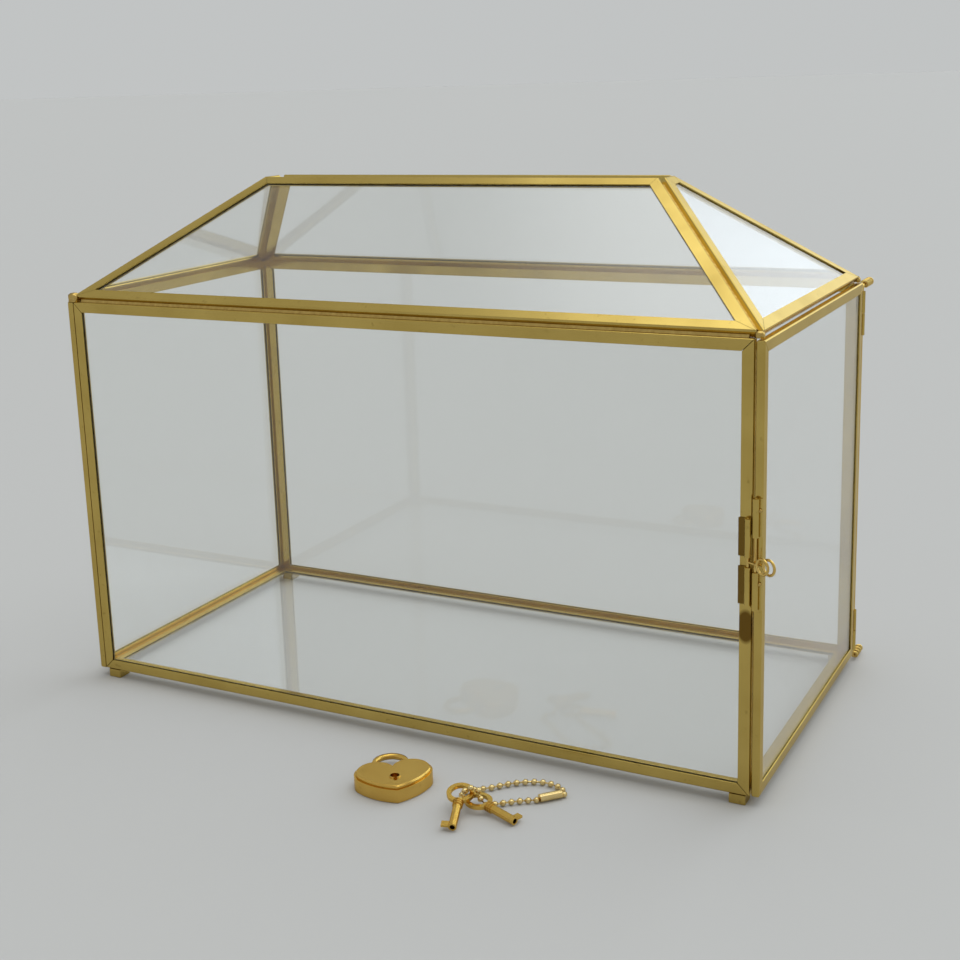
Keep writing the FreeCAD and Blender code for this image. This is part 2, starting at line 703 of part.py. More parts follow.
def lock_plate(name, step, z_text, thick_text):
    """Heart of four arcs, a side and a lobe on each half, moved in by a step and then bevelled on top."""
    inset = 0.0
    inset_text = "0"
    if step:
        inset = size(step)
        inset_text = "Sizes." + step
    lobe_r = size("LobeRadius") - inset
    side_r = lobe_r + (LOBE - SIDE).Length
    join = math.atan2(LOBE.y - SIDE.y, LOBE.x - SIDE.x)
    tip = math.atan2(-math.sqrt(side_r ** 2 - SIDE.x ** 2), -SIDE.x)
    cleft = math.acos(LOBE.x / lobe_r)
    body = doc.addObject("PartDesign::Body", name)
    sk = body.newObject("Sketcher::SketchObject", name + "_outline")
    sk.AttachmentSupport = (plane_of(body, "XY_Plane"), [""])
    sk.MapMode = "FlatFace"
    sk.setExpression("AttachmentOffset.Base.z", z_text)
    arcs = [(SIDE, side_r, tip, join), (LOBE, lobe_r, join, math.pi - cleft)]
    arcs += [(mirrored(c), r, math.pi - b, math.pi - a) for c, r, a, b in reversed(arcs)]
    for centre, radius, begin, stop in arcs:
        sk.addGeometry(Part.ArcOfCircle(Part.Circle(centre, UPRIGHT, radius), begin, stop))
    C = Sketcher.Constraint
    sk.addConstraint(C("Tangent", 0, 2, 1, 1))
    sk.addConstraint(C("Coincident", 1, 2, 2, 1))
    sk.addConstraint(C("Tangent", 2, 2, 3, 1))
    sk.addConstraint(C("Coincident", 3, 2, 0, 1))
    sk.addConstraint(C("Symmetric", 1, 3, 2, 3, -2))
    sk.addConstraint(C("Symmetric", 0, 3, 3, 3, -2))
    sk.addConstraint(C("Equal", 1, 2))
    sides = (
        (C("DistanceX", 2, 3, 1, 3, 2 * LOBE.x), "Sizes.LobeSpread"),
        (C("DistanceY", 1, 3, -1, 1, -LOBE.y), "Sizes.LobeDrop"),
        (C("DistanceX", 0, 3, 3, 3, -2 * SIDE.x), "Sizes.SideSpread"),
        (C("DistanceY", -1, 1, 0, 3, SIDE.y), "Sizes.SideRise"),
        (C("Radius", 1, lobe_r), "Sizes.LobeRadius - " + inset_text),
    )
    for constraint, bound in sides:
        k = sk.addConstraint(constraint)
        sk.setExpression("Constraints[%d]" % k, bound)
    pad = body.newObject("PartDesign::Pad", name + "_pad")
    pad.Profile = sk
    bind(pad, Length=thick_text)
    doc.recompute()
    if step:
        highest = max(v.Point.z for v in pad.Shape.Vertexes)
        rim = []
        for i, edge in enumerate(pad.Shape.Edges, start=1):
            if all(abs(v.Point.z - highest) < 1e-6 for v in edge.Vertexes):
                rim.append("Edge%d" % i)
        bevel = body.newObject("PartDesign::Chamfer", name + "_bevel")
        bevel.Base = (pad, rim)
        bind(bevel, Size="Sizes.LockBevel")
        body.Tip = bevel
        doc.recompute()
    return body


CASE = size("LockCase")
PIVOT_X = -size("ShackleSpread") / 2
PIVOT_Y = -size("PivotDrop")
TOE_Y = -size("ShackleToe")
HOLE_Y = -size("KeyholeDrop")
ROOM_LOW = (CASE - size("LockRoom")) / 2
ROOM_FROM = 58
ROOM_SWEEP = 120
X_PIVOT_HOLE = "Sizes.PivotRadius + Sizes.PivotClearance"
X_HOLE_DEEP = "Sizes.KeyholeDepth + Sizes.LockCover + Sizes.KeyholeRimHeight + 1"
HOLE_LOW = CASE - size("KeyholeDepth")
SLIT = size("KeyholeSlit")


def keyhole(name):
    """Round hole with a slit towards the tip, from its floor in the case to above the rim."""
    hole_at = place(0, HOLE_Y, HOLE_LOW)
    hole = prism(name + "_round", TURNED_SIDES, "Sizes.KeyholeRadius", X_HOLE_DEEP, hole_at)
    slit_at = place(-SLIT / 2, HOLE_Y - 2 * size("KeyholeRadius"), HOLE_LOW)
    slit = box(name + "_slit", "Sizes.KeyholeSlit", "2 * Sizes.KeyholeRadius", X_HOLE_DEEP, slit_at)
    return group("Part::MultiFuse", name, [hole, slit])


case_body = lock_plate("lock_case_stock", None, "0", "Sizes.LockCase")
cover_body = lock_plate("lock_cover_stock", "LockStep", "Sizes.LockCase", "Sizes.LockCover")
sector = rod("lock_sector", "2 * Sizes.LobeRadius", "Sizes.LockRoom",
             place(PIVOT_X, PIVOT_Y, ROOM_LOW, ROOM_FROM))
sector.Angle = ROOM_SWEEP
well = prism("lock_well", TURNED_SIDES, "Sizes.LockWell", "Sizes.LockRoom", place(PIVOT_X, PIVOT_Y, ROOM_LOW))
toe_at = place(-PIVOT_X - size("ToeRoomWide") / 2 - size("WireRadius"),
               TOE_Y - size("ShackleRadius"), ROOM_LOW)
toe_room = box("lock_toe_room", "Sizes.ToeRoomWide", "Sizes.ToeRoomLong", "Sizes.LockRoom", toe_at)
pivot_at = place(PIVOT_X, PIVOT_Y, 0)
pivot_hole = prism("lock_pivot_hole", TURNED_SIDES, X_PIVOT_HOLE, "Sizes.LockCase", pivot_at)
case_hole = keyhole("lock_case_keyhole")
case_room = group("Part::MultiFuse", "lock_room", [sector, well, toe_room, pivot_hole, case_hole])
case = cut("padlock_case", case_body, case_room)
case.Placement = LOCK
node(case, "padlock_case")
rim = rod("lock_rim", "Sizes.KeyholeRim", "Sizes.LockCover + Sizes.KeyholeRimHeight", place(0, HOLE_Y, CASE))
cover_sum = group("Part::MultiFuse", "lock_cover_sum", [cover_body, rim])
cover = cut("padlock_cover", cover_sum, keyhole("lock_cover_keyhole"))
cover.Placement = LOCK
node(cover, "padlock_cover")
rivet = prism("lock_stem", TURNED_SIDES, "Sizes.PivotRadius", "Sizes.LockCase", LOCK.multiply(pivot_at))
node(rivet, "padlock_rivet")

rise = size("ShackleRise")
shackle_path = [
    line(V(PIVOT_X, PIVOT_Y, 0), V(PIVOT_X, rise, 0)),
    arc(V(PIVOT_X, rise, 0), V(0, rise - PIVOT_X, 0), V(-PIVOT_X, rise, 0)),
    line(V(-PIVOT_X, rise, 0), V(-PIVOT_X, TOE_Y, 0)),
]
bar = doc.addObject("Part::Feature", "shackle_bar")
bar.Shape = tube(shackle_path, size("ShackleRadius"), SHACKLE_SIDES)
lug = prism("shackle_lug", TURNED_SIDES, "Sizes.ShackleLug", "Sizes.ShackleLugThick",
            place(PIVOT_X, PIVOT_Y, -size("ShackleLugThick") / 2))
shackle_sum = group("Part::MultiFuse", "shackle_sum", [bar, lug])
pin_hole = prism("shackle_hole", TURNED_SIDES, X_PIVOT_HOLE, "2 * Sizes.LockRoom",
                 place(PIVOT_X, PIVOT_Y, -size("LockRoom")))
shackle = cut("padlock_shackle", shackle_sum, pin_hole)
shackle.Placement = LOCK.multiply(place(0, 0, CASE / 2))
node(shackle, "padlock_shackle")


# Barrel keys: hollow tube, flag bit, three collars and ring bow, tilted so that one bow lies over the other.
def barrel_key(name, tip, bow, tilt, flag_turn):
    """Drawn along local X from the tube's open end at the origin to the bow."""
    long = size("KeyLength")
    tube_r = size("KeyTube")
    pitch = size("KeyRidgePitch")
    shaft = prism(name + "_tube", TURNED_SIDES, "Sizes.KeyTube", "Sizes.KeyLength", place(0, 0, 0, 0, 90, 0))
    solids = [shaft]
    for i in range(KEY_COLLARS):
        collar_at = place(long - (i + 1) * pitch, 0, 0, 0, 90, 0)
        solids.append(prism("%s_collar%d" % (name, i), TURNED_SIDES, "Sizes.KeyTube + Sizes.KeyRidge",
                            "Sizes.KeyRidgePitch / 2", collar_at))
    flag_at = place(size("KeyFlagSet"), tube_r - size("KeyRidge"), -size("KeyFlagThick") / 2)
    flag = box(name + "_flag", "Sizes.KeyFlagLong", "Sizes.KeyFlagHigh", "Sizes.KeyFlagThick", flag_at)
    turned = group("Part::Compound", name + "_flag_turned", [flag])
    turned.Placement = place(0, 0, 0, 0, 0, flag_turn)
    bow_low = place(BOW_REACH, 0, -size("BowThick") / 2)
    disc = rod(name + "_bow", "Sizes.BowRadius + Sizes.BowWire", "Sizes.BowThick", bow_low)
    eye_hole = rod(name + "_bow_hole", "Sizes.BowRadius - Sizes.BowWire", "Sizes.BowThick", bow_low)
    hoop = cut(name + "_hoop", disc, eye_hole)
    whole = group("Part::MultiFuse", name + "_whole", solids + [turned, hoop])
    bore = prism(name + "_bore", TURNED_SIDES, "Sizes.KeyBore", "Sizes.KeyBoreDepth", shaft.Placement)
    made = cut(name, whole, bore)
    way = math.degrees(math.atan2(bow[1] - tip[1], bow[0] - tip[0]))
    made.Placement = place(tip[0], tip[1], tube_r + size("KeyLift"), way, -tilt, 0)
    return node(made, name)


KEY_COLLARS = 3
BOW_REACH = size("KeyLength") + size("BowRadius") - size("BowSink")
KEY_ONE = ((59.0, -129.9), (53.4, -112.6), 12.0)
KEY_TWO = ((76.9, -117.2), (60.4, -111.6), 4.0)
barrel_key("key_one", *KEY_ONE, 0)
barrel_key("key_two", *KEY_TWO, 180)

# Ball chain: beads joined by short links, along the floor, up through one bow and down through the other.
FLAT = BEAD_FLAT * BEAD
STEP = size("BeadPitch")


def bow_centre(key):
    tip, bow = V(key[0][0], key[0][1], 0), V(key[1][0], key[1][1], 0)
    return tip + (bow - tip).normalize() * BOW_REACH * math.cos(math.radians(key[2]))


def floor_run(points):
    """Beads at an even pitch along a curve on the floor, after its first point."""
    curve = Part.BSplineCurve()
    curve.interpolate(points)
    count = int(round(curve.length() / STEP))
    pitch = curve.length() / count
    return [curve.value(curve.parameterAtDistance(pitch * i)) for i in range(1, count + 1)]


def on_floor(x, y):
    return V(x, y, FLAT)


one = bow_centre(KEY_ONE)
two = bow_centre(KEY_TWO)
through = [
    two + V(4.7, 3.3, FLAT), two + V(2.1, 1.4, FLAT), two + V(0.5, 0.5, 3.6), two + V(-0.3, 0.7, 6.6),
    one + V(3.5, 1.2, 7.6), one + V(1.0, 1.3, 5.9), one + V(-0.2, 1.8, 3.0), one + V(-1.0, 3.9, FLAT),
]
JOIN_A = on_floor(76.9, -99.2)
JOIN_B = on_floor(84.2, -91.4)
front_way = [through[0], on_floor(70.9, -103.0), JOIN_A]
back_way = [through[-1], on_floor(50.6, -103.4), on_floor(55.2, -99.8), on_floor(60.9, -93.9)]
back_way += [on_floor(67.2, -88.6), on_floor(74.1, -86.0), on_floor(80.6, -87.4), JOIN_B]
beads_at = floor_run(front_way)[::-1] + through + floor_run(back_way)

links = []
for i, p in enumerate(beads_at):
    bead = group("Part::Compound", "bead%d" % i, [ball_form])
    bead.Placement = place(p.x, p.y, p.z)
    links.append(bead)
for i in range(len(beads_at) - 1):
    a, b = beads_at[i], beads_at[i + 1]
    where = FreeCAD.Placement(a, FreeCAD.Rotation(V(0, 0, 1), b - a))
    links.append(prism("link%d" % i, LINK_SIDES, "Sizes.LinkRadius", str((b - a).Length), where))
node(group("Part::MultiFuse", "ball_chain", links), "ball_chain")
span = JOIN_B - JOIN_A
raised = JOIN_A + V(0, 0, size("ConnectorRadius") - FLAT)
at_join = FreeCAD.Placement(raised, FreeCAD.Rotation(V(0, 0, 1), span))
shell = rod("connector_shell", "Sizes.ConnectorRadius", "%s - 2 * Sizes.BeadRadius" % span.Length,
            at_join.multiply(place(0, 0, BEAD)))
node(shell, "chain_connector")
print("beads", len(beads_at), "connector", round(span.Length - 2 * BEAD, 2))

doc.recompute()

# The origin is on the floor, in the middle of everything that stands on it.
whole = Part.makeCompound([obj.Shape for obj in nodes]).BoundBox
shift = V(-(whole.XMin + whole.XMax) / 2, -(whole.YMin + whole.YMax) / 2, 0)
for obj in nodes:
    moved = obj.Placement
    moved.Base = moved.Base + shift
    obj.Placement = moved
pivot = LOCK.multVec(V(PIVOT_X, PIVOT_Y, 0))
for label, spot in (("hinge", V(HINGE_X, HINGE_Y, 0)), ("front eye", V(FRONT_AXIS_X, LATCH_Y, 0)),
                    ("door eye", V(DOOR_AXIS_X, LATCH_Y, 0)), ("shackle", pivot)):
    print(label, "axis", [round(n, 3) for n in spot + shift])
print("shift", [round(n, 3) for n in shift])
print("size", [round(n, 1) for n in (whole.XLength, whole.YLength, whole.ZLength)])

doc.recompute()
bad = [o.Name for o in doc.Objects if "Invalid" in o.State or "Error" in o.State]
for obj in nodes:
    if obj.Shape.isNull() or not obj.Shape.isValid():
        bad.append(obj.Label)
if bad:
    raise SystemExit("not built: " + ", ".join(bad))
os.makedirs("parts", exist_ok=True)
for obj in nodes:
    obj.Shape.exportStep("parts/%s.step" % obj.Label)
    b = obj.Shape.BoundBox
    extent = [round(n, 1) for n in (b.XMin, b.XMax, b.YMin, b.YMax, b.ZMin, b.ZMax)]
    print(obj.Label, len(obj.Shape.Solids), "solids", extent)
print("written", len(nodes))
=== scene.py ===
# %% [markdown]
# # A glass card box in brass cames
#
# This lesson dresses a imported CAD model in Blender. The object is a house-shaped box of glass panes, held in
# brass channel strips called cames, with a padlock and two keys in front of it. The big shapes are already
# right, so the lesson is about round wire, soft edges, finishes, light and the camera.

# %% Load the frame
import bpy
import math
from mathutils import Matrix, Vector


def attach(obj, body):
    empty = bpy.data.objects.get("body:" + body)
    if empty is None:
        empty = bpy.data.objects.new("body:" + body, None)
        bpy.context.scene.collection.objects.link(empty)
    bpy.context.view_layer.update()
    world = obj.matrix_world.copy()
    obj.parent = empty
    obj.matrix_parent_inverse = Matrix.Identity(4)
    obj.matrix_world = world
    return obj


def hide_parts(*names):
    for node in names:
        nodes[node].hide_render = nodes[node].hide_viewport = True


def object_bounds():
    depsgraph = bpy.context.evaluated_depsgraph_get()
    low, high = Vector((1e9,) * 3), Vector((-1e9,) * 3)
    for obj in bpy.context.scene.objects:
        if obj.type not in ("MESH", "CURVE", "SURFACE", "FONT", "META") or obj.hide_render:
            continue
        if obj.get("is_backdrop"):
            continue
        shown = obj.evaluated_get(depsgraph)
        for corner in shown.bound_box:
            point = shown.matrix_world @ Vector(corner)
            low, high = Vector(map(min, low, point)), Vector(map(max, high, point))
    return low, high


MM = 0.001

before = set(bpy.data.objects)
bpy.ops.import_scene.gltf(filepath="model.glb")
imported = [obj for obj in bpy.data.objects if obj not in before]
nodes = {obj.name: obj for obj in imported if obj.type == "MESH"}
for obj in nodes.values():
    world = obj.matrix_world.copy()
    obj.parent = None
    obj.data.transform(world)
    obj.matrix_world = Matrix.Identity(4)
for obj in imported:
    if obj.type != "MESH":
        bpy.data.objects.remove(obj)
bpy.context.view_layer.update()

# %% [markdown]
# ## Round wire at the latch and the hinge
#
# The latch eyes, the hinge pin and the two coils are drawn wire about a millimetre thick. The CAD model
# keeps them many-sided to stay light. Subdividing them would also round off their cut ends, so each one is
# drawn again as a curve with a round bevel, from the same sizes. The curve is turned into a mesh, which
# replaces the node and lies exactly where the node is.

# %% Wire helper
WIRE = 0.5 * MM
WIRE_ROUNDNESS = 3
wires = []


def round_wire(node, body, radius, runs):
    """A round wire of one or more runs, each a list of points and whether it closes on itself."""
    curve = bpy.data.curves.new(node + "_round", "CURVE")
    curve.dimensions = "3D"
    curve.bevel_depth = radius
    curve.bevel_resolution = WIRE_ROUNDNESS
    curve.use_fill_caps = True
    for points, closed in runs:
        spline = curve.splines.new("POLY")
        spline.points.add(len(points) - 1)
        for spot, p in zip(spline.points, points):
            spot.co = (*p, 1)
        spline.use_cyclic_u = closed
    former = bpy.data.objects.new(node + "_line", curve)
    obj = bpy.data.objects.new(node + "_round", bpy.data.meshes.new_from_object(former))
    bpy.data.objects.remove(former)
    bpy.context.scene.collection.objects.link(obj)
    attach(obj, body)
    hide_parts(node)
    wires.append(obj)
    print(obj.name, "runs", len(runs), "faces", len(obj.data.polygons))


# %% [markdown]
# ### Hinge pin
#
# The pin is one straight wire whose two ends are bent back square. A bend could be left to a curve's own
# handles, but a quarter circle of points keeps it at the radius that the CAD model has.

# %% Hinge pin
HINGE = Vector((146.362, 94.294, 0)) * MM
COIL_LOW, COIL_HIGH = 2.2 * MM, 165.8 * MM
PIN_BEND = 1.4 * MM
PIN_TAIL = 14.6 * MM
BEND_STEPS = 6

bend = [PIN_BEND * (1 - math.sin(0.5 * math.pi * i / BEND_STEPS)) for i in range(BEND_STEPS + 1)]
low_bend = [HINGE + Vector((0, y, COIL_LOW + z)) for y, z in zip(bend, reversed(bend))]
high_bend = [HINGE + Vector((0, y, COIL_HIGH - z)) for y, z in zip(reversed(bend), bend)]
low_tail = HINGE + Vector((0, PIN_TAIL, COIL_LOW))
high_tail = HINGE + Vector((0, PIN_TAIL, COIL_HIGH))
round_wire("hinge_pin", "box", WIRE, [([low_tail] + low_bend + high_bend + [high_tail], False)])

# %% [markdown]
# ### Hinge coils
#
# A coil of slightly thicker wire is wound on each bent end, and keeps the pin from sliding out. A screw
# modifier could wind it, but the winding's own formula is as short: a steady turn round the pin and a
# steady step along it.

# %% Hinge coils
COIL_WIRE = 0.6 * MM
COIL_MEAN = 1.2 * MM
COIL_START, COIL_PITCH, COIL_TURNS = 2.2 * MM, 2.8 * MM, 4
TURN_STEPS = 28

for node, height in (("hinge_coil_upper", COIL_HIGH), ("hinge_coil_lower", COIL_LOW)):
    winding = []
    for i in range(COIL_TURNS * TURN_STEPS + 1):
        turn = 2 * math.pi * i / TURN_STEPS
        step = COIL_START + COIL_PITCH * i / TURN_STEPS
        across, rise = -COIL_MEAN * math.cos(turn), COIL_MEAN * math.sin(turn)
        winding.append(HINGE + Vector((across, step, height + rise)))
    round_wire(node, "box", COIL_WIRE, [(winding, False)])

# %% [markdown]
# ### Latch eyes
#
# Each latch eye is an upright pin in two barrels, a short shank and a closed ring. The padlock's shackle
# goes through both rings. The two eyes lie side by side, so their shanks point the same way. One curve with
# three runs makes each eye a single piece, which can then swing on its own body.

# %% Latch eyes
EYE_HEIGHT = 90.9 * MM
EYE_RADIUS = 2.65 * MM
LATCH_DEPTH = -50.106
SHANK_TURN = math.radians(30)
RING_STEPS = 36

shank_way = Vector((math.cos(SHANK_TURN), -math.sin(SHANK_TURN), 0))
for node, x, reach, low, high in (("front_latch_eye", 142.262, 7.05, 75.1, 106.5),
                                  ("door_latch_eye", 144.862, 6.55, 73.6, 113.8)):
    axis = Vector((x, LATCH_DEPTH, 0)) * MM
    level = axis + Vector((0, 0, EYE_HEIGHT))
    middle = level + shank_way * reach * MM
    hoop = []
    for i in range(RING_STEPS):
        turn = 2 * math.pi * i / RING_STEPS
        out, up = EYE_RADIUS * math.cos(turn), EYE_RADIUS * math.sin(turn)
        hoop.append(middle + shank_way * out + Vector((0, 0, up)))
    pin = [axis + Vector((0, 0, low * MM)), axis + Vector((0, 0, high * MM))]
    shank = [level, middle - shank_way * EYE_RADIUS]
    round_wire(node, node.replace("_latch", ""), WIRE, [(pin, False), (shank, False), (hoop, True)])

# %% [markdown]
# ## Soft shading
#
# Rolled barrels, beads and stamped small parts arrive many-sided too. Their outline is near enough round at
# this size, so only their shading has to change. Shade Smooth alone would keep the imported normals, so a
# small geometry node group welds the imported faces, forgets those normals and shades every edge below a
# limit as smooth. One function adds a node with its settings and links, here and in every finish below.

# %% Node helper
def add(tree, kind, settings=None, links=None):
    """One node: settings name its properties or unlinked sockets, links name its sockets' sources."""
    node = tree.nodes.new(kind)
    for key, value in (settings or {}).items():
        if isinstance(key, str) and hasattr(node, key):
            setattr(node, key, value)
        else:
            node.inputs[key].default_value = value
    for key, source in (links or {}).items():
        tree.links.new(source, node.inputs[key])
    return node


# %% Soft shading group
WELD = 0.002 * MM


def soft_group(limit):
    """Node group that shades edges smooth where the faces turn by less than a limit in degrees."""
    group = bpy.data.node_groups.new("soft_edges_%d" % limit, "GeometryNodeTree")
    group.interface.new_socket("Geometry", in_out="INPUT", socket_type="NodeSocketGeometry")
    group.interface.new_socket("Geometry", in_out="OUTPUT", socket_type="NodeSocketGeometry")
    given = add(group, "NodeGroupInput")
    plain = add(group, "GeometryNodeRemoveAttribute", {"Name": "custom_normal"}, {0: given.outputs[0]})
    welded = add(group, "GeometryNodeMergeByDistance", {"Distance": WELD}, {0: plain.outputs[0]})
    faces = add(group, "GeometryNodeSetShadeSmooth", {"domain": "FACE"}, {0: welded.outputs[0]})
    edges = add(group, "GeometryNodeSetShadeSmooth", {"domain": "EDGE"}, {0: faces.outputs[0]})
    fold = add(group, "GeometryNodeInputMeshEdgeAngle")
    sharp = add(group, "FunctionNodeCompare", {"operation": "GREATER_THAN", 1: math.radians(limit)},
                {0: fold.outputs["Unsigned Angle"]})
    split = add(group, "GeometryNodeSetShadeSmooth", {"domain": "EDGE", "Shade Smooth": False},
                {0: edges.outputs[0], 1: sharp.outputs[0]})
    add(group, "NodeGroupOutput", None, {0: split.outputs[0]})
    return group


def soften(objects, limit):
    """Soft shading on CAD nodes below a limit in degrees."""
    group = soft_group(limit)
    for obj in objects:
        obj.modifiers.new("soft_edges", "NODES").node_group = group
    print("softened", [obj.name for obj in objects])


def named(*endings):
    """CAD nodes whose names end in one of these words."""
    return [obj for name, obj in nodes.items() if name.endswith(endings)]


# %% Soft round pieces
ROLLED_LIMIT = 40
BEAD_LIMIT = 80
SHACKLE_LIMIT = 65
soften(named("_barrels", "_knuckles", "_rivet", "_connector"), ROLLED_LIMIT)
soften(named("ball_chain", "solder_corners", "solder_drops"), BEAD_LIMIT)
soften(named("_shackle"), SHACKLE_LIMIT)

# %% [markdown]
# ## Eased edges
#
# A cut or stamped edge is never quite sharp, and each eased edge catches a thin line of light. The CAD model
# could carry these small rounds, at the price of many faces. A bevel modifier adds them here to the padlock,
# the keys and the cames of the walls. The cames of the roof go without, because their compound mitres end in
# edges that are too short to ease.

# %% Eased edges
STAMPED_LIMIT = 35
KEY_LIMIT = 40
CAME_LIMIT = 40


def ease(objects, limit, width):
    """Soft shading with a narrow bevel on the edges above a limit in degrees."""
    soften(objects, limit)
    for obj in objects:
        rim = obj.modifiers.new("eased_edges", "BEVEL")
        rim.width = width
        rim.segments = 2
        rim.limit_method = "ANGLE"
        rim.angle_limit = math.radians(limit)
        rim.harden_normals = True


ease(named("padlock_case", "padlock_cover"), STAMPED_LIMIT, 0.35 * MM)
ease(named("key_one", "key_two"), KEY_LIMIT, 0.18 * MM)
ease([obj for obj in named("_came") if not obj.name.startswith("roof")], CAME_LIMIT, 0.2 * MM)

# %% [markdown]
# ## Rolled brass came
#
# The frame strips are thin brass sheet, rolled to a channel and polished. Rolling leaves lengthwise lines
# that are too fine to show at this size. Handling leaves soft cloudy tone, and small brown tarnish specks
# sit where flux was not washed off. An even gold would look painted. A metal's colour is its reflection
# colour, so all of this goes into the base colour and the roughness. Brass stays golden even at a glancing
# angle, so the shader's edge tint is golden too.
#
# Colours are written as the hex values that a paint chart would give. Blender's shaders work in linear
# light, so one function turns hex to linear.

# %% Helpers for finishes
def linear(code):
    """Linear RGBA of an sRGB hex colour such as D2B05A."""
    channels = [int(code[i:i + 2], 16) / 255 for i in (0, 2, 4)]
    return [c / 12.92 if c <= 0.04045 else ((c + 0.055) / 1.055) ** 2.4 for c in channels] + [1.0]


def new_finish(name):
    """An empty material with its Principled shader."""
    finish = bpy.data.materials.new(name)
    finish.use_nodes = True
    return finish, finish.node_tree, finish.node_tree.nodes["Principled BSDF"]


def coat(objects, finish):
    """Give pieces one finish."""
    for obj in objects:
        obj.data.materials.clear()
        obj.data.materials.append(finish)
    print(finish.name, "on", len(objects), "pieces")


# %% Rolled brass
TARNISH = "664918"
EDGE_TINT = "F8EFD8"
SPECK_MM = 2.2
SPECK_FROM, SPECK_FULL, SPECK_DEPTH = 0.66, 0.8, 0.35
OVAL_FULL, OVAL_END = 0.8, 1.05


def rolled_brass(name, bright, dull, rough, cloud_mm, dark_ovals=()):
    """Polished brass with cloudy tone, tarnish specks and optional darker brown ovals."""
    finish, tree, shader = new_finish(name)
    shader.inputs["Metallic"].default_value = 1.0
    shader.inputs["Specular Tint"].default_value = linear(EDGE_TINT)
    place = add(tree, "ShaderNodeTexCoord").outputs["Object"]
    cloud = add(tree, "ShaderNodeTexNoise", {"Scale": 1 / (cloud_mm * MM), "Detail": 3.0},
                {"Vector": place})
    tone = add(tree, "ShaderNodeMix", {"data_type": "RGBA", 6: linear(bright), 7: linear(dull)},
               {"Factor": cloud.outputs["Fac"]})
    speck = add(tree, "ShaderNodeTexNoise", {"Scale": 1 / (SPECK_MM * MM), "Detail": 2.0},
                {"Vector": place})
    spots = add(tree, "ShaderNodeMapRange",
                {"From Min": SPECK_FROM, "From Max": SPECK_FULL, "To Max": SPECK_DEPTH},
                {"Value": speck.outputs["Fac"]})
    colour = add(tree, "ShaderNodeMix", {"data_type": "RGBA", 7: linear(TARNISH)},
                 {"Factor": spots.outputs["Result"], 6: tone.outputs[2]})
    # Each given oval darkens the brass towards the tarnish brown inside its half sizes.
    for centre, half, strength in dark_ovals:
        away = add(tree, "ShaderNodeVectorMath", {"operation": "SUBTRACT", 1: Vector(centre) * MM},
                   {0: place})
        scaled = add(tree, "ShaderNodeVectorMath", {"operation": "DIVIDE", 1: Vector(half) * MM},
                     {0: away.outputs["Vector"]})
        reach = add(tree, "ShaderNodeVectorMath", {"operation": "LENGTH"}, {0: scaled.outputs["Vector"]})
        oval = add(tree, "ShaderNodeMapRange",
                   {"From Min": OVAL_FULL, "From Max": OVAL_END, "To Min": strength, "To Max": 0.0},
                   {"Value": reach.outputs["Value"]})
        colour = add(tree, "ShaderNodeMix", {"data_type": "RGBA", 7: linear(TARNISH)},
                     {"Factor": oval.outputs["Result"], 6: colour.outputs[2]})
    tree.links.new(colour.outputs[2], shader.inputs["Base Color"])
    gloss = add(tree, "ShaderNodeMapRange",
                {"From Min": 0.3, "From Max": 0.7, "To Min": rough[0], "To Max": rough[1]},
                {"Value": cloud.outputs["Fac"]})
    tree.links.new(gloss.outputs["Result"], shader.inputs["Roughness"])
    return finish


# %% Brass on the cames
CAME_BRIGHT, CAME_DULL = "D2B869", "AE934A"
CAME_ROUGH = (0.13, 0.24)
CAME_CLOUD_MM = 24.0
came_look = (CAME_BRIGHT, CAME_DULL, CAME_ROUGH, CAME_CLOUD_MM)
came_brass = rolled_brass("rolled_came_brass", *came_look)
coat(named("_came", "_knuckles", "door_latch_barrels", "corner_feet"), came_brass)

# %% [markdown]
# ### Darker brown ovals beside the latch
#
# The front post below the latch and the leaves that hold the front barrels are darker brown. A
# painted mask would need an image, so each dark patch is an oval in a real place: its middle, its half sizes
# in millimetres and its strength. Inside the oval the brass turns towards the dark brown of the specks.

# %% Brass darkened beside the latch
# Darker brown ovals on the front post and the front latch leaves; the code only darkens the brass inside them.
LATCH_DARK_OVAL = ((141.4, -48.9, 67.0), (3.4, 3.0, 6.4), 0.92)
LEAF_BROWN = ((139.6, -50.0, 91.0), (1.6, 4.0, 40.0), 0.88)
dark_oval_came = rolled_brass("dark_oval_came_brass", *came_look, [LATCH_DARK_OVAL])
dark_oval_leaf = rolled_brass("dark_oval_leaf_brass", *came_look, [LEAF_BROWN])
coat([nodes["front_came"]], dark_oval_came)
coat([nodes["front_latch_barrels"]], dark_oval_leaf)

# %% [markdown]
# ### Drawn wire
#
# Wire is pulled through a die, which leaves it brighter than rolled sheet. It is the same brass, so the same
# function makes it, with lighter tones and smaller clouds.

# %% Drawn wire
wire_brass = rolled_brass("drawn_wire_brass", "E2C67A", "C4A050", (0.15, 0.24), 9.0)
coat(wires, wire_brass)

# %% [markdown]
# ## Gilt solder
#
# The seams are filled with solder that was plated with the frame. It froze in small waves, so it is a
# little rougher and its surface is bumpy at about the width of the bead. The run of each seam is in the CAD
# model, and only the small waves are left to a bump.

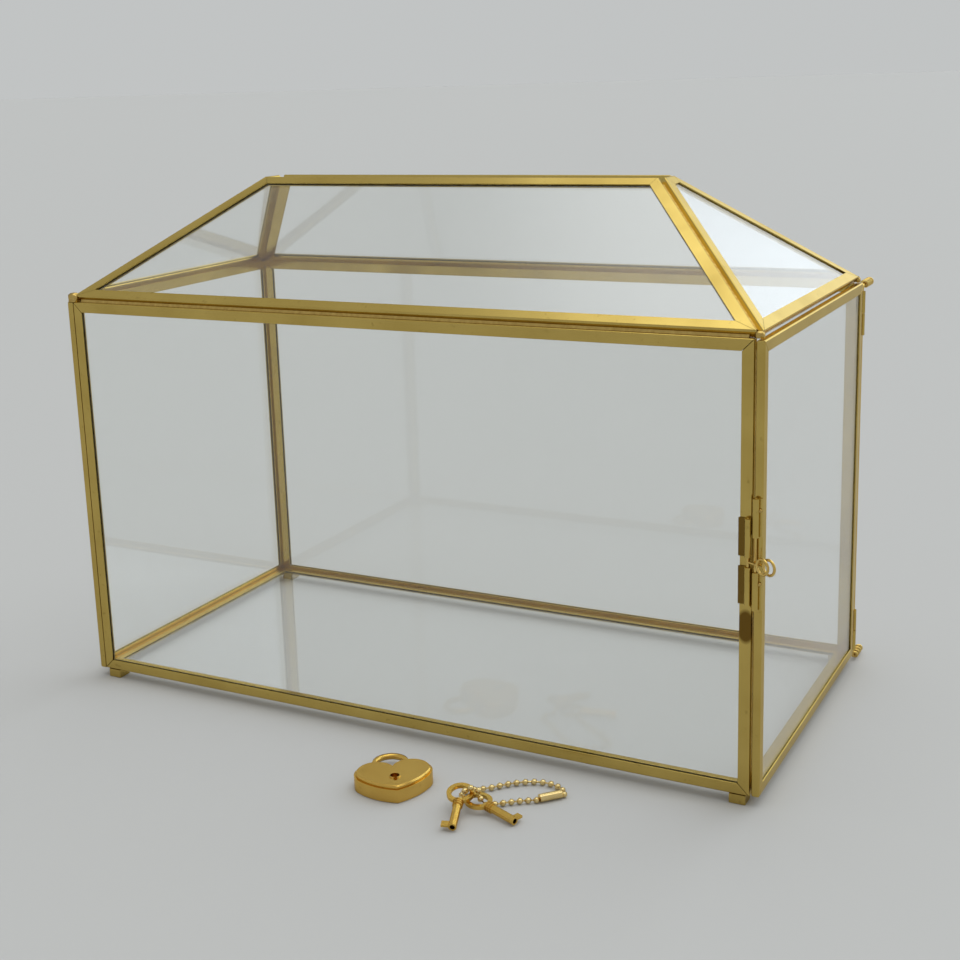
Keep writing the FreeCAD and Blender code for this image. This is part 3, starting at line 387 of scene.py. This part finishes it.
# %% Gilt solder
WAVE_MM = 1.6
WAVE_RISE = 0.25 * MM
solder, tree, shader = new_finish("gilt_solder")
shader.inputs["Metallic"].default_value = 1.0
shader.inputs["Specular Tint"].default_value = linear(EDGE_TINT)
shader.inputs["Roughness"].default_value = 0.26
wave = add(tree, "ShaderNodeTexNoise", {"Scale": 1 / (WAVE_MM * MM), "Detail": 1.0},
           {"Vector": add(tree, "ShaderNodeTexCoord").outputs["Object"]})
tone = add(tree, "ShaderNodeMix", {"data_type": "RGBA", 6: linear("CDB06A"), 7: linear("A98A48")},
           {"Factor": wave.outputs["Fac"]})
tree.links.new(tone.outputs[2], shader.inputs["Base Color"])
bump = add(tree, "ShaderNodeBump", {"Strength": 0.5, "Distance": WAVE_RISE}, {"Height": wave.outputs["Fac"]})
tree.links.new(bump.outputs["Normal"], shader.inputs["Normal"])
coat([obj for name, obj in nodes.items() if name.startswith("solder")], solder)

# %% [markdown]
# ## Float glass
#
# The panes are clear float glass about two millimetres thick. They could be single sheets with a mixed
# transparent shader, but they are real solids here, so one shader with full transmission and the index of
# soda-lime glass gives the true reflections of both faces. A hand leaves a thin film here and there, which
# only dulls the reflections a little. The panes cast no shadow of their own, as clear glass in soft light
# does not.

# %% Float glass
FILM_MM = 45.0
FILM_FROM, FILM_FULL, FILM_ROUGH = 0.52, 0.75, 0.03
glass, tree, shader = new_finish("clear_float_glass")
shader.inputs["Base Color"].default_value = linear("FCFDFC")
shader.inputs["Transmission Weight"].default_value = 1.0
shader.inputs["IOR"].default_value = 1.52
film = add(tree, "ShaderNodeTexNoise", {"Scale": 1 / (FILM_MM * MM), "Detail": 4.0},
           {"Vector": add(tree, "ShaderNodeTexCoord").outputs["Object"]})
haze = add(tree, "ShaderNodeMapRange", {"From Min": FILM_FROM, "From Max": FILM_FULL, "To Max": FILM_ROUGH},
           {"Value": film.outputs["Fac"]})
tree.links.new(haze.outputs["Result"], shader.inputs["Roughness"])
panes = named("_glass")
coat(panes, glass)
for pane in panes:
    pane.visible_shadow = False
    pane.visible_diffuse = False

# %% [markdown]
# ## Padlock, keys and chain
#
# These small pieces are stamped and turned from brass and then plated, so they are warmer and brighter than
# the cames, and their tone varies over a few millimetres only. The same brass function takes these tones.

# %% Plated small parts
lock_gold = rolled_brass("plated_lock_brass", "E6C26A", "C69A45", (0.14, 0.24), 12.0)
key_gold = rolled_brass("plated_key_brass", "E8C468", "C99D46", (0.14, 0.22), 6.0)
chain_gold = rolled_brass("plated_chain_brass", "F0DAA0", "D8BA78", (0.1, 0.18), 4.0)
coat([obj for name, obj in nodes.items() if name.startswith("padlock")], lock_gold)
coat(named("key_one", "key_two"), key_gold)
coat(named("ball_chain", "chain_connector"), chain_gold)

# %% [markdown]
# ## Floor
#
# A plain pale floor runs far past the box on every side, so that the glass has something even to show. A
# curved backdrop would stand in the way of other views, and a floor this wide meets the sky out of sight.

# %% Floor
FLOOR_HALF = 60.0
FLOOR_DROP = 0.2 * MM
floor_mesh = bpy.data.meshes.new("floor")
floor_corners = [(x * FLOOR_HALF, y * FLOOR_HALF, 0) for x, y in ((-1, -1), (1, -1), (1, 1), (-1, 1))]
floor_mesh.from_pydata(floor_corners, [], [(0, 1, 2, 3)])
floor = bpy.data.objects.new("floor", floor_mesh)
bpy.context.scene.collection.objects.link(floor)
floor.location.z = -FLOOR_DROP
floor_finish, tree, shader = new_finish("pale_floor")
shader.inputs["Base Color"].default_value = linear("C2C1BF")
shader.inputs["Roughness"].default_value = 0.8
floor_mesh.materials.append(floor_finish)
floor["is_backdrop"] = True
print("floor", FLOOR_HALF * 2, "m wide")

# %% [markdown]
# ## Light
#
# Plain studio light: one broad light high up, and one cooler and weaker light low on the right, behind.
# Lamps with hard edges would draw white shapes on the panes, so the light is a smooth dome instead. The
# world is as pale as the floor at the horizon and grows brighter towards the two directions. The same dome
# lights the brass, shows in the glass and makes the background.

# %% Dome of light
HORIZON = 0.56
HIGH_LIGHT = 1.9
HIGH_WAY = Vector((0.1, 0.2, 0.97)).normalized()
SIDE_LIGHT = 1.25
SIDE_WAY = Vector((0.498, 0.797, 0.342)).normalized()
world = bpy.data.worlds.new("studio")
bpy.context.scene.world = world
world.use_nodes = True
sky = world.node_tree
sky.nodes.clear()
way = add(sky, "ShaderNodeTexCoord").outputs["Generated"]
toward_high = add(sky, "ShaderNodeVectorMath", {"operation": "DOT_PRODUCT", 1: HIGH_WAY}, {0: way})
glow = {"interpolation_type": "SMOOTHSTEP", "From Min": 0.82, "From Max": 0.92,
        "To Min": HORIZON, "To Max": HIGH_LIGHT}
strength = add(sky, "ShaderNodeMapRange", glow, {"Value": toward_high.outputs["Value"]})
dome = add(sky, "ShaderNodeBackground", {"Color": linear("FAFDFD")},
           {"Strength": strength.outputs["Result"]})
toward_side = add(sky, "ShaderNodeVectorMath", {"operation": "DOT_PRODUCT", 1: SIDE_WAY}, {0: way})
fade = {"interpolation_type": "SMOOTHSTEP", "From Min": 0.80, "From Max": 0.91,
        "To Min": 0.0, "To Max": SIDE_LIGHT}
patch = add(sky, "ShaderNodeMapRange", fade, {"Value": toward_side.outputs["Value"]})
side = add(sky, "ShaderNodeBackground", {"Color": linear("EAF5FF")}, {"Strength": patch.outputs["Result"]})
both = add(sky, "ShaderNodeAddShader", None, {0: dome.outputs[0], 1: side.outputs[0]})
add(sky, "ShaderNodeOutputWorld", None, {"Surface": both.outputs[0]})
print("dome from", HORIZON, "to", HIGH_LIGHT, "with a side light of", SIDE_LIGHT)

# %% [markdown]
# ## Camera
#
# The camera was solved from the straight edges of the box in the photograph, so it is given by its place,
# its turn, its dip and a slight lean. A track-to constraint could aim it, but not lean it. The lens shift
# puts the optical axis where that solve found it.

# %% Camera
CAMERA_PLACE = Vector((0.2794, -0.5081, 0.2533))
TURN = math.radians(27.90)
DIP = math.radians(12.69)
LEAN = math.radians(-1.85)
ahead = Vector((-math.sin(TURN) * math.cos(DIP), math.cos(TURN) * math.cos(DIP), -math.sin(DIP)))
level = Vector((math.cos(TURN), math.sin(TURN), 0))
upward = level.cross(ahead)
right = level * math.cos(LEAN) + upward * math.sin(LEAN)
above = upward * math.cos(LEAN) - level * math.sin(LEAN)
camera_data = bpy.data.cameras.new("camera")
camera_data.sensor_width = 36.0
camera_data.lens = 54.53
camera_data.shift_x = 0.0125
camera_data.shift_y = -0.0755
camera_data.clip_start = 0.01
camera = bpy.data.objects.new("camera", camera_data)
bpy.context.scene.collection.objects.link(camera)
turned = Matrix((right, above, -ahead)).transposed().to_4x4()
camera.matrix_world = Matrix.Translation(CAMERA_PLACE) @ turned
bpy.context.scene.camera = camera
bpy.context.scene.view_settings.view_transform = "Standard"
print("camera", [round(n, 3) for n in CAMERA_PLACE])

# %% Finish
low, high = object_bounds()
print("visual box", [round(n, 4) for n in low], [round(n, 4) for n in high])
